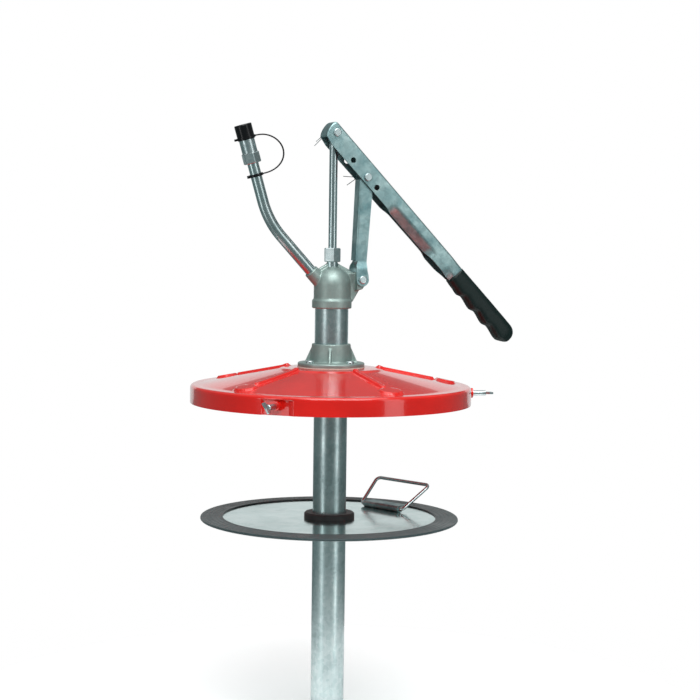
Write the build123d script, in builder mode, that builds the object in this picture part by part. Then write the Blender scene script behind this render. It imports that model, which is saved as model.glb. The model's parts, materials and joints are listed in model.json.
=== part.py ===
from build123d import *
import math
import os

# Hand-lever drum pump for a 20 kg pail: a steel pump tube with a cast head stands through a pressed
# pail lid, and a follower plate slides on the tube under the lid.
# Millimetres. Origin: on the pump axis, at the underside of the lid where it rests on the pail's rim.
# +Z up, +X towards the lever's grip, -X towards the delivery spout.

os.makedirs("parts", exist_ok=True)

# ---- driving dimensions ----
TUBE_R = 19.0            # pump tube outside radius
BORE_R = 17.0            # pump tube bore radius
TUBE_TOP = 97.5
TUBE_BOTTOM = -365.0
ROD_R = 4.75             # piston rod radius
FIT = 0.05               # radial clearance of a running fit
PIN_R = 3.0              # clevis pin radius
SHEET = 2.0              # lever and link sheet thickness

LID_R = 159.5            # outside of the lid's skirt
LID_T = 1.5              # lid sheet thickness
LID_TOP = 21.5           # lid surface under the flange
SKIRT_BOTTOM = -19.0
RIB_ANGLE = -9.3         # one of five pressed ribs, degrees from +X
SCREW_ANGLE = -11.0      # one of three clamp screws
POCKET_R = 156.5         # flat seat pressed in the skirt at each clamp screw
SCREW_Z = -8.7

FLANGE_Z = 22.5          # underside of the tube flange
FLANGE_SCREW_ANGLE = -68.5
FLANGE_PCR = 32.0        # pitch circle radius of the flange screws

HEAD_BOTTOM = 88.2
NECK_TOP = 140.7
NUT_TOP = 156.5

PLATE_TOP = -150.5       # follower plate's top face at rest
FOLLOWER_R = 147.0
BAIL_ANGLE = 24.0        # bail bracket's direction, degrees from +X
BAIL_R = 86.0            # bail hinge axis to pump axis
BAIL_LEAN = 36.0         # bail above the plate at rest, degrees

PIN_A = Vector(0, 0, 286.0)        # lever on piston rod
PIN_B = Vector(37.6, 0, 236.8)     # lever on link
PIN_C = Vector(32.5, 0, 120.8)     # link on pump head
LEVER_DROP = 46.25       # lever below horizontal at rest, degrees

SPOUT_ROOT = Vector(0, 0, 102.7)   # spout boss axis meets the pump axis
SPOUT_BEND = Vector(-76.8, 0, 185.9)
SPOUT_TOP = Vector(-95.2, 0, 249.5)
SPOUT_R = 6.4


def polar(radius, degrees, z=0.0):
    a = math.radians(degrees)
    return Vector(radius * math.cos(a), radius * math.sin(a), z)


def facing_out(radius, degrees, z):
    """Plane whose normal points away from the pump axis, local y up."""
    a = math.radians(degrees)
    return Plane(origin=polar(radius, degrees, z), x_dir=(-math.sin(a), math.cos(a), 0),
                 z_dir=(math.cos(a), math.sin(a), 0))


def ring(outer, inner, low, high):
    """A plain ring about the pump axis, added to the part in progress."""
    with BuildSketch(Plane.XY.offset(low)) as section:
        Circle(outer)
        Circle(inner, mode=Mode.SUBTRACT)
    extrude(section.sketch, amount=high - low)


def save(builder, name):
    builder.part.label = name
    export_step(builder.part, f"parts/{name}.step")


def side_plane(origin, degrees):
    """Plane in the lever's plane of motion: local x at an angle from +X, local z towards -Y."""
    a = math.radians(degrees)
    return Plane(origin=origin, x_dir=(math.cos(a), 0, math.sin(a)), z_dir=(0, -1, 0))


# ---- pump tube and foot valve ----
SEAT_R = 7.0             # foot valve seat bore
BALL_R = 8.5
FOOT_TOP = TUBE_BOTTOM + 14
BALL_Z = FOOT_TOP - 6 + math.sqrt(BALL_R**2 - SEAT_R**2) + 0.2
STOP_Z = BALL_Z + BALL_R + 7.5
with BuildPart() as pump_tube:
    ring(TUBE_R, BORE_R, TUBE_BOTTOM, TUBE_TOP)
    chamfer(pump_tube.edges().filter_by(GeomType.CIRCLE).group_by(Axis.Z)[0], 0.6)
    with BuildSketch(Plane.YZ.offset(-TUBE_R)):
        with Locations((0, STOP_Z)):
            Circle(1.5)
    extrude(amount=2 * TUBE_R, mode=Mode.SUBTRACT)
save(pump_tube, "pump_tube")

with BuildPart() as ball_stop_pin:
    with BuildSketch(Plane.YZ.offset(-TUBE_R + 0.2)):
        with Locations((0, STOP_Z)):
            Circle(1.5)
    extrude(amount=2 * TUBE_R - 0.4)
save(ball_stop_pin, "ball_stop_pin")

with BuildPart() as foot_body:
    # valve seat pressed in the tube, with a notched foot that keeps the inlet off the pail's bottom
    with BuildSketch(Plane.XZ):
        with BuildLine():
            Polyline((SEAT_R, TUBE_BOTTOM - 4), (SEAT_R, FOOT_TOP - 6), (SEAT_R + 5, FOOT_TOP - 1),
                     (SEAT_R + 5, FOOT_TOP), (BORE_R, FOOT_TOP), (BORE_R, TUBE_BOTTOM),
                     (TUBE_R, TUBE_BOTTOM), (TUBE_R, TUBE_BOTTOM - 14), (TUBE_R - 3.5, TUBE_BOTTOM - 14),
                     (TUBE_R - 3.5, TUBE_BOTTOM - 4), close=True)
        make_face()
    revolve(axis=Axis.Z)
    for turn in (0, 90):
        with Locations(Location((0, 0, TUBE_BOTTOM - 12), (0, 0, turn))):
            Box(3 * TUBE_R, 12, 14, mode=Mode.SUBTRACT)
save(foot_body, "foot_body")

with BuildPart() as foot_ball:
    with Locations((0, 0, BALL_Z)):
        Sphere(BALL_R)
save(foot_ball, "foot_ball")

# ---- piston rod, piston and its valve ----
PISTON_TOP = -264.0
PISTON_H = 12.0
ROD_THREAD_R = 4.0
with BuildPart() as piston_rod:
    with BuildSketch(Plane.XY.offset(PISTON_TOP)):
        Circle(ROD_R)
    extrude(amount=PIN_A.Z - 9 - PISTON_TOP)
    with BuildSketch(Plane.XY.offset(PISTON_TOP - 28)):
        Circle(ROD_THREAD_R)
    extrude(amount=28)
    with BuildSketch(Plane.XZ):
        with Locations((PIN_A.X, PIN_A.Z)):
            Circle(5.9)
        with Locations((PIN_A.X, PIN_A.Z - 5)):
            Rectangle(2 * ROD_R, 10)
    extrude(amount=4.5, both=True)
    with BuildSketch(Plane.XZ):
        with Locations((PIN_A.X, PIN_A.Z)):
            Circle(PIN_R + FIT)
    extrude(amount=10, both=True, mode=Mode.SUBTRACT)
save(piston_rod, "piston_rod")

with BuildPart() as piston_body:
    ring(BORE_R - 0.15, ROD_THREAD_R, PISTON_TOP - PISTON_H, PISTON_TOP)
    with Locations((0, 0, PISTON_TOP)):
        with PolarLocations(10.2, 6):
            Hole(2.6, depth=PISTON_H)
save(piston_body, "piston_body")

with BuildPart() as piston_cup:
    with BuildSketch(Plane.XZ):
        with BuildLine():
            cup_top = PISTON_TOP - PISTON_H
            Polyline((13.2, cup_top), (BORE_R - 0.15, cup_top), (BORE_R - 0.1, cup_top - 9),
                     (BORE_R - 2.2, cup_top - 9), (BORE_R - 2.6, cup_top - 2.5), (13.2, cup_top - 2.5),
                     close=True)
        make_face()
    revolve(axis=Axis.Z)
save(piston_cup, "piston_cup")

with BuildPart() as piston_spider:
    # spoked plate that holds the cup and leaves the flow ports open
    ring(14.0, 12.4, cup_top - 5, cup_top - 2.5)
    ring(7.0, ROD_THREAD_R, cup_top - 5, cup_top)
    with Locations((0, 0, cup_top - 3.75)):
        with PolarLocations(9.8, 3):
            Box(6.4, 4, 2.5)
save(piston_spider, "piston_spider")

with BuildPart() as piston_nut:
    with BuildSketch(Plane.XY.offset(cup_top - 12)):
        RegularPolygon(6.5, 6, major_radius=False)
        Circle(ROD_THREAD_R, mode=Mode.SUBTRACT)
    extrude(amount=7)
save(piston_nut, "piston_nut")

with BuildPart() as piston_valve_disc:
    ring(14.5, ROD_R + 0.3, PISTON_TOP + 0.2, PISTON_TOP + 2.2)
save(piston_valve_disc, "piston_valve_disc")

with BuildPart() as valve_stop_ring:
    ring(9.0, ROD_R, PISTON_TOP + 6.5, PISTON_TOP + 8.5)
save(valve_stop_ring, "valve_stop_ring")

# ---- pump head casting ----
BODY_R = 20.65
DOME_Z = 114.8
COLLAR_Z = 98.2          # top of the collar round the tube
PACKING_LOW = 114.0
PACKING_TOP = 122.0
SHANK_R = 6.1
spout_dir = (SPOUT_BEND - SPOUT_ROOT).normalized()
BOSS_R = 8.2
BOSS_LONG = 37.9         # spout boss end from the spout root
BOSS_START = 14.0        # the boss is drawn from inside the body's wall
NECK_R = 6.3
NECK_LOW = DOME_Z + 21.0
BOSS_SOCKET = SPOUT_ROOT + spout_dir * 24.0
RIB_T = 8.4              # rib that carries the lever lug
FIN_T = 4.4              # fin over the dome
LUG_W = 21.0             # lug width between the link's ears
with BuildPart() as pump_head:
    with BuildSketch(Plane.XZ):
        with BuildLine():
            Polyline((0, HEAD_BOTTOM), (21.7, HEAD_BOTTOM), (22.5, HEAD_BOTTOM + 0.8), (22.5, COLLAR_Z - 0.8),
                     (21.5, COLLAR_Z), (BODY_R, COLLAR_Z + 0.8), (BODY_R, DOME_Z))
            RadiusArc((BODY_R, DOME_Z), (7.4, DOME_Z + 19.28), -BODY_R)
            Polyline((7.4, DOME_Z + 19.28), (NECK_R, NECK_LOW), (NECK_R, NECK_TOP), (0, NECK_TOP),
                     (0, HEAD_BOTTOM))
        make_face()
    revolve(axis=Axis.Z)
    with BuildSketch(Plane(origin=SPOUT_ROOT + spout_dir * BOSS_START, z_dir=spout_dir)):
        Circle(BOSS_R)
    extrude(amount=BOSS_LONG - BOSS_START)
    # lever lug on its rib, and the fin that runs over the dome to the spout boss
    with BuildSketch(Plane.XZ):
        with BuildLine():
            Polyline((12, 95), (23.5, 95.4), (31.8, 109.0), (PIN_C.X, PIN_C.Z), (PIN_C.X - 6.2, 128.6), (12, 128.6),
                     close=True)
        make_face()
    extrude(amount=RIB_T / 2, both=True)
    with BuildSketch(Plane.XZ):
        with BuildLine():
            Polyline((PIN_C.X - 6.2, PIN_C.Z + 8.5), (PIN_C.X - 6.2, PIN_C.Z - 12.3), (PIN_C.X + 0.4, PIN_C.Z - 11.0),
                     (PIN_C.X + 5.4, PIN_C.Z - 4.6), (PIN_C.X + 6.9, PIN_C.Z), (PIN_C.X + 5.4, PIN_C.Z + 4.6),
                     (PIN_C.X + 1.5, PIN_C.Z + 8.5), close=True)
        make_face()
    extrude(amount=LUG_W / 2, both=True)
    with BuildSketch(Plane.XZ):
        with BuildLine():
            Polyline((5, 139.9), (10, 137.2), (21.5, 131.4), (27, 126), (12, 110), (-12, 110), (-26, 122),
                     (-24, 128), (-15.1, 134.0), (-5, 139.9), close=True)
        make_face()
    extrude(amount=FIN_T / 2, both=True)
    # bores: tube socket, pressure chamber, packing box, rod, spout
    with BuildSketch(Plane.XY.offset(HEAD_BOTTOM)):
        Circle(TUBE_R)
    extrude(amount=TUBE_TOP - HEAD_BOTTOM, mode=Mode.SUBTRACT)
    with BuildSketch(Plane.XZ):
        with BuildLine():
            Polyline((0, TUBE_TOP - 1), (16, TUBE_TOP - 1), (16, 104), (11, 110), (0, 110), close=True)
        make_face()
    revolve(axis=Axis.Z, mode=Mode.SUBTRACT)
    with BuildSketch(Plane.XY.offset(100)):
        Circle(ROD_R + 0.25)
    extrude(amount=NECK_TOP, mode=Mode.SUBTRACT)
    with BuildSketch(Plane.XY.offset(PACKING_LOW)):
        Circle(SHANK_R)
    extrude(amount=NECK_TOP, mode=Mode.SUBTRACT)
    with BuildSketch(Plane(origin=SPOUT_ROOT + spout_dir * 10, z_dir=spout_dir)):
        Circle(4.6)
    extrude(amount=40, mode=Mode.SUBTRACT)
    with BuildSketch(Plane(origin=BOSS_SOCKET, z_dir=spout_dir)):
        Circle(SPOUT_R)
    extrude(amount=40, mode=Mode.SUBTRACT)
    with BuildSketch(Plane.XZ):
        with Locations((PIN_C.X, PIN_C.Z)):
            Circle(PIN_R + FIT)
    extrude(amount=20, both=True, mode=Mode.SUBTRACT)
save(pump_head, "pump_head")

with BuildPart() as rod_packing:
    ring(SHANK_R, ROD_R + FIT, PACKING_LOW, PACKING_TOP)
save(rod_packing, "rod_packing")

NUT_FLATS = 17.0         # gland nut across its flats
with BuildPart() as gland_nut:
    with BuildSketch(Plane.XY.offset(NECK_TOP)):
        RegularPolygon(NUT_FLATS / 2, 6, major_radius=False, rotation=20)
    extrude(amount=NUT_TOP - NECK_TOP)
    chamfer(gland_nut.edges().group_by(Axis.Z)[-1] + gland_nut.edges().group_by(Axis.Z)[0], 0.9)
    with BuildSketch(Plane.XY.offset(PACKING_TOP)):
        Circle(SHANK_R)
    extrude(amount=NECK_TOP - PACKING_TOP)
    with BuildSketch(Plane.XY.offset(PACKING_TOP)):
        Circle(ROD_R + 0.1)
    extrude(amount=NUT_TOP, mode=Mode.SUBTRACT)
save(gland_nut, "gland_nut")

# ---- delivery spout, outlet coupler, dust cap and its strap ----
top_dir = (SPOUT_TOP - SPOUT_BEND).normalized()
SPOUT_END = SPOUT_TOP + top_dir * 9
with BuildPart() as spout_tube:
    with BuildLine() as spout_path:
        FilletPolyline(BOSS_SOCKET, SPOUT_BEND, SPOUT_END, radius=97)
    with BuildSketch(Plane(origin=BOSS_SOCKET, z_dir=spout_dir)):
        Circle(SPOUT_R)
        Circle(SPOUT_R - 1.6, mode=Mode.SUBTRACT)
    sweep()
save(spout_tube, "spout_tube")


def along_top(distance):
    """Plane across the outlet's axis, this far above the coupler's lower end."""
    return Plane(origin=SPOUT_TOP + top_dir * distance, x_dir=(0, 1, 0), z_dir=top_dir)


HEX_H = 12.0
HEX_FLATS = 18.0
COUPLER_R = 8.75
COUPLER_TOP = 28.0
NIPPLE_R = 6.6
NIPPLE_TOP = 41.0
with BuildPart() as outlet_coupler:
    with BuildSketch(along_top(0)):
        RegularPolygon(HEX_FLATS / 2, 6, major_radius=False)
    extrude(amount=HEX_H)
    chamfer(outlet_coupler.edges().filter_by(GeomType.LINE), 0.8)
    with BuildSketch(along_top(HEX_H)):
        Circle(COUPLER_R)
    extrude(amount=COUPLER_TOP - HEX_H)
    with BuildSketch(along_top(COUPLER_TOP)):
        Circle(NIPPLE_R)
    extrude(amount=NIPPLE_TOP - COUPLER_TOP)
    chamfer(outlet_coupler.edges().filter_by(GeomType.CIRCLE).sort_by(Axis.Z)[-1], 0.8)
    with BuildSketch(along_top(-1)):
        Circle(SPOUT_R)
    extrude(amount=10, mode=Mode.SUBTRACT)
    with BuildSketch(along_top(0)):
        Circle(4.2)
    extrude(amount=60, mode=Mode.SUBTRACT)
save(outlet_coupler, "outlet_coupler")

CAP_LOW = COUPLER_TOP - 1.2      # the cap's skirt laps over the coupler
CAP_TOP = COUPLER_TOP + 16.0
CAP_R = 9.7
RING_LOW = COUPLER_TOP - 0.2
RING_H = 2.4
with BuildPart() as dust_cap:
    with BuildSketch(along_top(CAP_LOW)):
        Circle(CAP_R)
    with BuildSketch(along_top(CAP_TOP)):
        Circle(CAP_R + 0.15)
    loft()
    fillet(dust_cap.edges().filter_by(GeomType.CIRCLE).sort_by(Axis.Z)[-1], 1.2)
    with BuildSketch(along_top(CAP_LOW)):
        Circle(COUPLER_R + 0.2)
    extrude(amount=COUPLER_TOP + 0.3 - CAP_LOW, mode=Mode.SUBTRACT)
    with BuildSketch(along_top(COUPLER_TOP)):
        Circle(NIPPLE_R + 0.3)
    extrude(amount=NIPPLE_TOP - COUPLER_TOP + 0.4, mode=Mode.SUBTRACT)
save(dust_cap, "dust_cap")

with BuildPart() as cap_ring:
    # the strap's upper eye, snapped round the cap's foot, with its pull tab
    with BuildSketch(along_top(RING_LOW)):
        Circle(10.9)
        with Locations((0, 9.9)):
            RectangleRounded(6, 7.2, 1.5)
        Circle(CAP_R + 0.1, mode=Mode.SUBTRACT)
    extrude(amount=RING_H)
save(cap_ring, "cap_ring")

with BuildPart() as spout_ring:
    # the strap's lower eye round the spout tube, below the coupler
    with BuildSketch(along_top(-15.2)):
        Circle(8.2)
        with Locations((0, 7.0)):
            RectangleRounded(5, 6.4, 1.5)
        Circle(SPOUT_R, mode=Mode.SUBTRACT)
    extrude(amount=3.0)
save(spout_ring, "spout_ring")

STRAP_R = 1.15
STRAP_ROUTE = [(-92.2, 280.5), (-86.5, 281.9), (-78.6, 281.6), (-70.9, 279.0), (-64.6, 274.4), (-60.4, 268.4),
               (-58.9, 261.2), (-60.4, 254.0), (-64.9, 247.4), (-71.4, 242.6), (-78.4, 239.6), (-83.4, 238.5)]


def corner_radii(points):
    """Largest arc for each corner of a free strap: 0.45 of the shorter run over tan(half the turn)."""
    radii = []
    for before, here, after in zip(points, points[1:], points[2:]):
        run_in, run_out = here - before, after - here
        half_turn = math.radians(run_in.get_angle(run_out)) / 2
        radii.append(0.45 * min(run_in.length, run_out.length) / math.tan(half_turn))
    return radii


with BuildPart() as cap_strap:
    route = [Vector(x, 0, z) for x, z in STRAP_ROUTE]
    with BuildLine():
        FilletPolyline(*route, radius=corner_radii(route))
    with BuildSketch(Plane(origin=route[0], z_dir=route[1] - route[0])):
        Circle(STRAP_R)
    sweep()
save(cap_strap, "cap_strap")

# ---- tube flange on the lid ----
COLLAR_TOP = 48.0
FLANGE_R = 38.0
FLANGE_T = 4.5
SCREW_R = 2.5
SCREW_HOLE_R = 2.6
with BuildPart() as tube_flange:
    with BuildSketch(Plane.XZ):
        with BuildLine():
            Polyline((TUBE_R, FLANGE_Z), (FLANGE_R, FLANGE_Z), (FLANGE_R, FLANGE_Z + FLANGE_T),
                     (23.6, FLANGE_Z + FLANGE_T),
                     (22.0, COLLAR_TOP), (TUBE_R, COLLAR_TOP), close=True)
        make_face()
    revolve(axis=Axis.Z)
    fillet(tube_flange.edges().filter_by(GeomType.CIRCLE).filter_by_position(Axis.Z, 26.9, 27.1), 1.2)
    for k in range(4):
        a = FLANGE_SCREW_ANGLE - 45 + 90 * k
        out = math.radians(a)
        with BuildSketch(Plane(origin=(0, 0, 0), x_dir=(math.cos(out), math.sin(out), 0),
                               z_dir=(math.sin(out), -math.cos(out), 0))):
            with BuildLine():
                Polyline((21, 25), (30.0, 25), (30.0, 27.2), (22.6, 43.5), (21, 43.5), close=True)
            make_face()
        extrude(amount=1.5, both=True)
    with BuildSketch(Plane.XY.offset(FLANGE_Z)):
        for k in range(4):
            with Locations(polar(FLANGE_PCR, FLANGE_SCREW_ANGLE + 90 * k)):
                Circle(SCREW_HOLE_R)
    extrude(amount=FLANGE_T, mode=Mode.SUBTRACT)
    with BuildSketch(Plane.XY):
        Circle(TUBE_R)
    extrude(amount=COLLAR_TOP, mode=Mode.SUBTRACT)
save(tube_flange, "tube_flange")

with BuildPart() as flange_gasket:
    with BuildSketch(Plane.XY.offset(LID_TOP)):
        Circle(FLANGE_R + 0.3)
        Circle(TUBE_R + 0.6, mode=Mode.SUBTRACT)
        for k in range(4):
            with Locations(polar(FLANGE_PCR, FLANGE_SCREW_ANGLE + 90 * k)):
                Circle(SCREW_HOLE_R, mode=Mode.SUBTRACT)
    extrude(amount=FLANGE_Z - LID_TOP)
save(flange_gasket, "flange_gasket")

SCREW_HEAD_Z = FLANGE_Z + FLANGE_T
SCREW_END_Z = 12.0
with BuildPart() as flange_screws:
    for k in range(4):
        spot = polar(FLANGE_PCR, FLANGE_SCREW_ANGLE + 90 * k)
        with Locations(spot + Vector(0, 0, SCREW_END_Z)):
            Cylinder(SCREW_R, SCREW_HEAD_Z - SCREW_END_Z, align=(Align.CENTER, Align.CENTER, Align.MIN))
        with Locations(spot + Vector(0, 0, SCREW_HEAD_Z)):
            Cylinder(4.6, 3.2, align=(Align.CENTER, Align.CENTER, Align.MIN))
    fillet(flange_screws.edges().filter_by(GeomType.CIRCLE).group_by(Axis.Z)[-1], 1.6)
    for k in range(4):
        with Locations(polar(FLANGE_PCR, FLANGE_SCREW_ANGLE + 90 * k, SCREW_HEAD_Z + 3.2)):
            Box(5.6, 1.1, 3.0, rotation=(0, 0, 25 + 40 * k), mode=Mode.SUBTRACT)
            Box(5.6, 1.1, 3.0, rotation=(0, 0, 115 + 40 * k), mode=Mode.SUBTRACT)
save(flange_screws, "flange_screws")

NUT_H = 4.0
with BuildPart() as flange_nuts:
    for k in range(4):
        with BuildSketch(Plane.XY.offset(LID_TOP - LID_T - NUT_H)):
            with Locations(polar(FLANGE_PCR, FLANGE_SCREW_ANGLE + 90 * k)):
                RegularPolygon(4.0, 6, major_radius=False)
                Circle(SCREW_R, mode=Mode.SUBTRACT)
        extrude(amount=NUT_H)
save(flange_nuts, "flange_nuts")

# ---- pressed pail lid ----
SHOULDER_R = 147.0       # the cone meets the flat that rests on the pail's rim
CONE_TOP_R = 60.0
CONE_TOP_Z = 18.9
POCKET_W = 34.0          # width of each flat seat in the skirt
POCKET_TOP = -2.2
SKIRT_TOP = -0.6         # where the lid's top ends and its skirt begins
cone_slope = math.degrees(math.atan2(CONE_TOP_Z - LID_T, SHOULDER_R - CONE_TOP_R))
cone_length = math.hypot(CONE_TOP_Z - LID_T, SHOULDER_R - CONE_TOP_R)


def rib_outline(shrink=0.0):
    """One rib with its oval pad, drawn along the cone from its inner end."""
    with Locations((27.5, 0)):
        SlotOverall(70, 8 - shrink)
    with Locations((75.5, 0)):
        Ellipse(12 - shrink / 2, 14 - shrink / 2)


with BuildPart() as pressing:
    with BuildSketch(Plane.XZ):
        with BuildLine():
            Polyline((TUBE_R + 0.6, LID_TOP), (42, LID_TOP), (56, 20.8), (CONE_TOP_R, CONE_TOP_Z),
                     (SHOULDER_R, LID_T), (LID_R, LID_T), (LID_R, SKIRT_BOTTOM), (LID_R - LID_T, SKIRT_BOTTOM),
                     (LID_R - LID_T, 0), (SHOULDER_R, 0), (CONE_TOP_R, CONE_TOP_Z - LID_T), (56, 20.8 - LID_T),
                     (42, LID_TOP - LID_T), (TUBE_R + 0.6, LID_TOP - LID_T), close=True)
        make_face()
    revolve(axis=Axis.Z)
    circles = pressing.edges().filter_by(GeomType.CIRCLE)
    fillet(circles.filter_by_position(Axis.Z, LID_T - 0.01, LID_T + 0.01).sort_by(SortBy.RADIUS)[-1], 4.5)
    circles = pressing.edges().filter_by(GeomType.CIRCLE)
    fillet(circles.filter_by_position(Axis.Z, -0.01, 0.01).sort_by(SortBy.RADIUS)[-1], 3.0)
    for k in range(5):
        a = RIB_ANGLE + 72 * k
        tangent = math.radians(a)
        slope = math.radians(cone_slope)
        down = Vector(math.cos(tangent) * math.cos(slope), math.sin(tangent) * math.cos(slope), -math.sin(slope))
        normal = Vector(math.cos(tangent) * math.sin(slope), math.sin(tangent) * math.sin(slope), math.cos(slope))
        on_cone = Plane(origin=polar(CONE_TOP_R, a, CONE_TOP_Z), x_dir=down, z_dir=normal)
        with BuildSketch(on_cone.offset(-0.9)):
            rib_outline()
        extrude(amount=3.6, taper=24)
        with BuildSketch(on_cone.offset(-2.4)):
            rib_outline(2.4)
        extrude(amount=3.6, taper=20, mode=Mode.SUBTRACT)
    for k in range(3):
        # flat seat pressed in the skirt, open at its lower edge
        wall = facing_out(POCKET_R - LID_T, SCREW_ANGLE + 120 * k, SCREW_Z)
        low, high = SKIRT_BOTTOM - SCREW_Z, POCKET_TOP - SCREW_Z
        with BuildSketch(wall):
            with Locations((0, (low + high + LID_T) / 2)):
                Rectangle(POCKET_W + 3, high + LID_T - low)
        extrude(amount=3.2)
        with BuildSketch(wall.offset(LID_T)):
            with Locations((0, (low - 1 + high) / 2)):
                Rectangle(POCKET_W, high - low + 1)
        extrude(amount=10, mode=Mode.SUBTRACT)
        with BuildSketch(wall):
            Circle(PIN_R + 0.4)
        extrude(amount=10, mode=Mode.SUBTRACT)
    with BuildSketch(Plane.XY):
        for k in range(4):
            with Locations(polar(FLANGE_PCR, FLANGE_SCREW_ANGLE + 90 * k)):
                Circle(SCREW_HOLE_R)
    extrude(amount=LID_TOP + 1, mode=Mode.SUBTRACT)

# the lid's sheet is saved as its top and its skirt, so that each is a simple shape
with BuildPart() as lid:
    add(pressing.part)
    split(bisect_by=Plane.XY.offset(SKIRT_TOP), keep=Keep.TOP)
save(lid, "lid")

with BuildPart() as lid_skirt:
    add(pressing.part)
    split(bisect_by=Plane.XY.offset(SKIRT_TOP), keep=Keep.BOTTOM)
save(lid_skirt, "lid_skirt")

# ---- clamp screws that pull the lid to the pail ----
BOSS_H = 9.0
with BuildPart() as clamp_nuts:
    for k in range(3):
        seat = facing_out(POCKET_R, SCREW_ANGLE + 120 * k, SCREW_Z)
        with BuildSketch(seat):
            Circle(5.0)
            Circle(PIN_R + FIT, mode=Mode.SUBTRACT)
        extrude(amount=BOSS_H)
        with BuildSketch(seat.offset(BOSS_H - 3)):
            Circle(5.7)
            Circle(PIN_R + FIT, mode=Mode.SUBTRACT)
        extrude(amount=3)
save(clamp_nuts, "clamp_nuts")

SCREW_TIP_R = 151.5
WING_R = 177.5
WING_TURN = (88, 50, 32)  # each wing's turn about its screw, from upright
for k, turn in enumerate(WING_TURN):
    tip = facing_out(SCREW_TIP_R, SCREW_ANGLE + 120 * k, SCREW_Z)
    with BuildPart() as clamp_screw:
        with BuildSketch(tip):
            Circle(PIN_R)
        extrude(amount=WING_R - SCREW_TIP_R + 4)
        chamfer(clamp_screw.edges().filter_by(GeomType.CIRCLE), 0.7)
        a = math.radians(turn)
        wing = Plane(origin=tip.origin + tip.z_dir * (WING_R - SCREW_TIP_R), x_dir=tip.z_dir,
                     z_dir=tip.x_dir * math.cos(a) + tip.y_dir * math.sin(a))
        with BuildSketch(wing):
            with BuildLine():
                Polyline((0, -3), (3, -3.4), (7, -6.4), (10.6, -6.6), (11.6, -5), (10.2, 0), (11.6, 5),
                         (10.6, 6.6), (7, 6.4), (3, 3.4), (0, 3), close=True)
            make_face()
        extrude(amount=1.1, both=True)
    save(clamp_screw, f"clamp_screw_{k + 1}")

# ---- follower plate ----
PLATE_T = 1.5
PLATE_R = 136.0
PLATE_HOLE_R = 24.5
GRIP_R = 28.75           # grommet's outer radius
RIVET_R = 2.0
RIVET_OUT = 9.6          # bail hinge axis to rivet centre
RIVET_SIDE = 19.0
across = polar(1, BAIL_ANGLE + 90)
outward = polar(1, BAIL_ANGLE)
rivet_spots = [outward * (BAIL_R + RIVET_OUT) + across * (side * RIVET_SIDE) for side in (-1, 1)]
with BuildPart() as follower_plate:
    ring(PLATE_R, PLATE_HOLE_R, PLATE_TOP - PLATE_T, PLATE_TOP)
    with BuildSketch(Plane.XY.offset(PLATE_TOP)):
        with Locations(*rivet_spots):
            Circle(RIVET_R)
    extrude(amount=-PLATE_T, mode=Mode.SUBTRACT)
save(follower_plate, "follower_plate")

SEAL_IN = 121.5
with BuildPart() as follower_seal:
    with BuildSketch(Plane.XZ):
        with BuildLine():
            Polyline((SEAL_IN, PLATE_TOP), (SEAL_IN + 0.4, PLATE_TOP + 1.5), (137, PLATE_TOP + 1.2),
                     (FOLLOWER_R - 0.8, PLATE_TOP + 0.9), (FOLLOWER_R, PLATE_TOP), (FOLLOWER_R, PLATE_TOP - 1.2),
                     (FOLLOWER_R - 2, PLATE_TOP - 2.2), (137, PLATE_TOP - 3.2), (128, PLATE_TOP - 3.2),
                     (128, PLATE_TOP - PLATE_T), (PLATE_R, PLATE_TOP - PLATE_T), (PLATE_R, PLATE_TOP), close=True)
        make_face()
    revolve(axis=Axis.Z)
save(follower_seal, "follower_seal")

with BuildPart() as follower_grommet:
    with BuildSketch(Plane.XZ):
        with BuildLine():
            Polyline((TUBE_R + 0.3, PLATE_TOP + 6), (GRIP_R - 1.5, PLATE_TOP + 6), (GRIP_R, PLATE_TOP + 4.5),
                     (GRIP_R, PLATE_TOP), (PLATE_HOLE_R, PLATE_TOP), (PLATE_HOLE_R, PLATE_TOP - PLATE_T),
                     (GRIP_R - 1, PLATE_TOP - PLATE_T), (GRIP_R - 1, PLATE_TOP - 4.5),
                     (TUBE_R + 0.3, PLATE_TOP - 4.5), close=True)
        make_face()
    revolve(axis=Axis.Z)
save(follower_grommet, "follower_grommet")

# ---- bail handle of the follower plate ----
WIRE_R = 2.0
ROLL_R = 3.4             # outside of the bracket's roll
HINGE_Z = PLATE_TOP + ROLL_R
BRACKET_W = 56.0
BAIL_FOOT = 33.5         # half width at the hinge
BAIL_TOP = 43.0          # half width at the top bar
BAIL_REACH = 44.7
hinge_centre = polar(BAIL_R, BAIL_ANGLE, HINGE_Z)
with BuildPart() as bail_bracket:
    # sheet strap rolled round the bail's foot and riveted outside the hinge
    with BuildSketch(Plane(origin=hinge_centre - across * (BRACKET_W / 2), x_dir=outward, z_dir=across)):
        Circle(ROLL_R)
        with BuildLine():
            Polyline((0, -ROLL_R), (14, -ROLL_R), (14, 1 - ROLL_R), (0, 1 - ROLL_R), close=True)
        make_face()
        Circle(WIRE_R + 0.15, mode=Mode.SUBTRACT)
    extrude(amount=BRACKET_W)
    with BuildSketch(Plane.XY.offset(PLATE_TOP)):
        with Locations(*rivet_spots):
            Circle(RIVET_R)
    extrude(amount=2, mode=Mode.SUBTRACT)
save(bail_bracket, "bail_bracket")

with BuildPart() as bracket_rivets:
    for spot in rivet_spots:
        with Locations(spot + Vector(0, 0, PLATE_TOP + 1.0)):
            Cylinder(RIVET_R, PLATE_T + 1.0, align=(Align.CENTER, Align.CENTER, Align.MAX))
        for z, side in ((1.0, Align.MIN), (-PLATE_T, Align.MAX)):
            with Locations(spot + Vector(0, 0, PLATE_TOP + z)):
                Cylinder(3.4, 1.2, align=(Align.CENTER, Align.CENTER, side))
save(bracket_rivets, "bracket_rivets")

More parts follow.
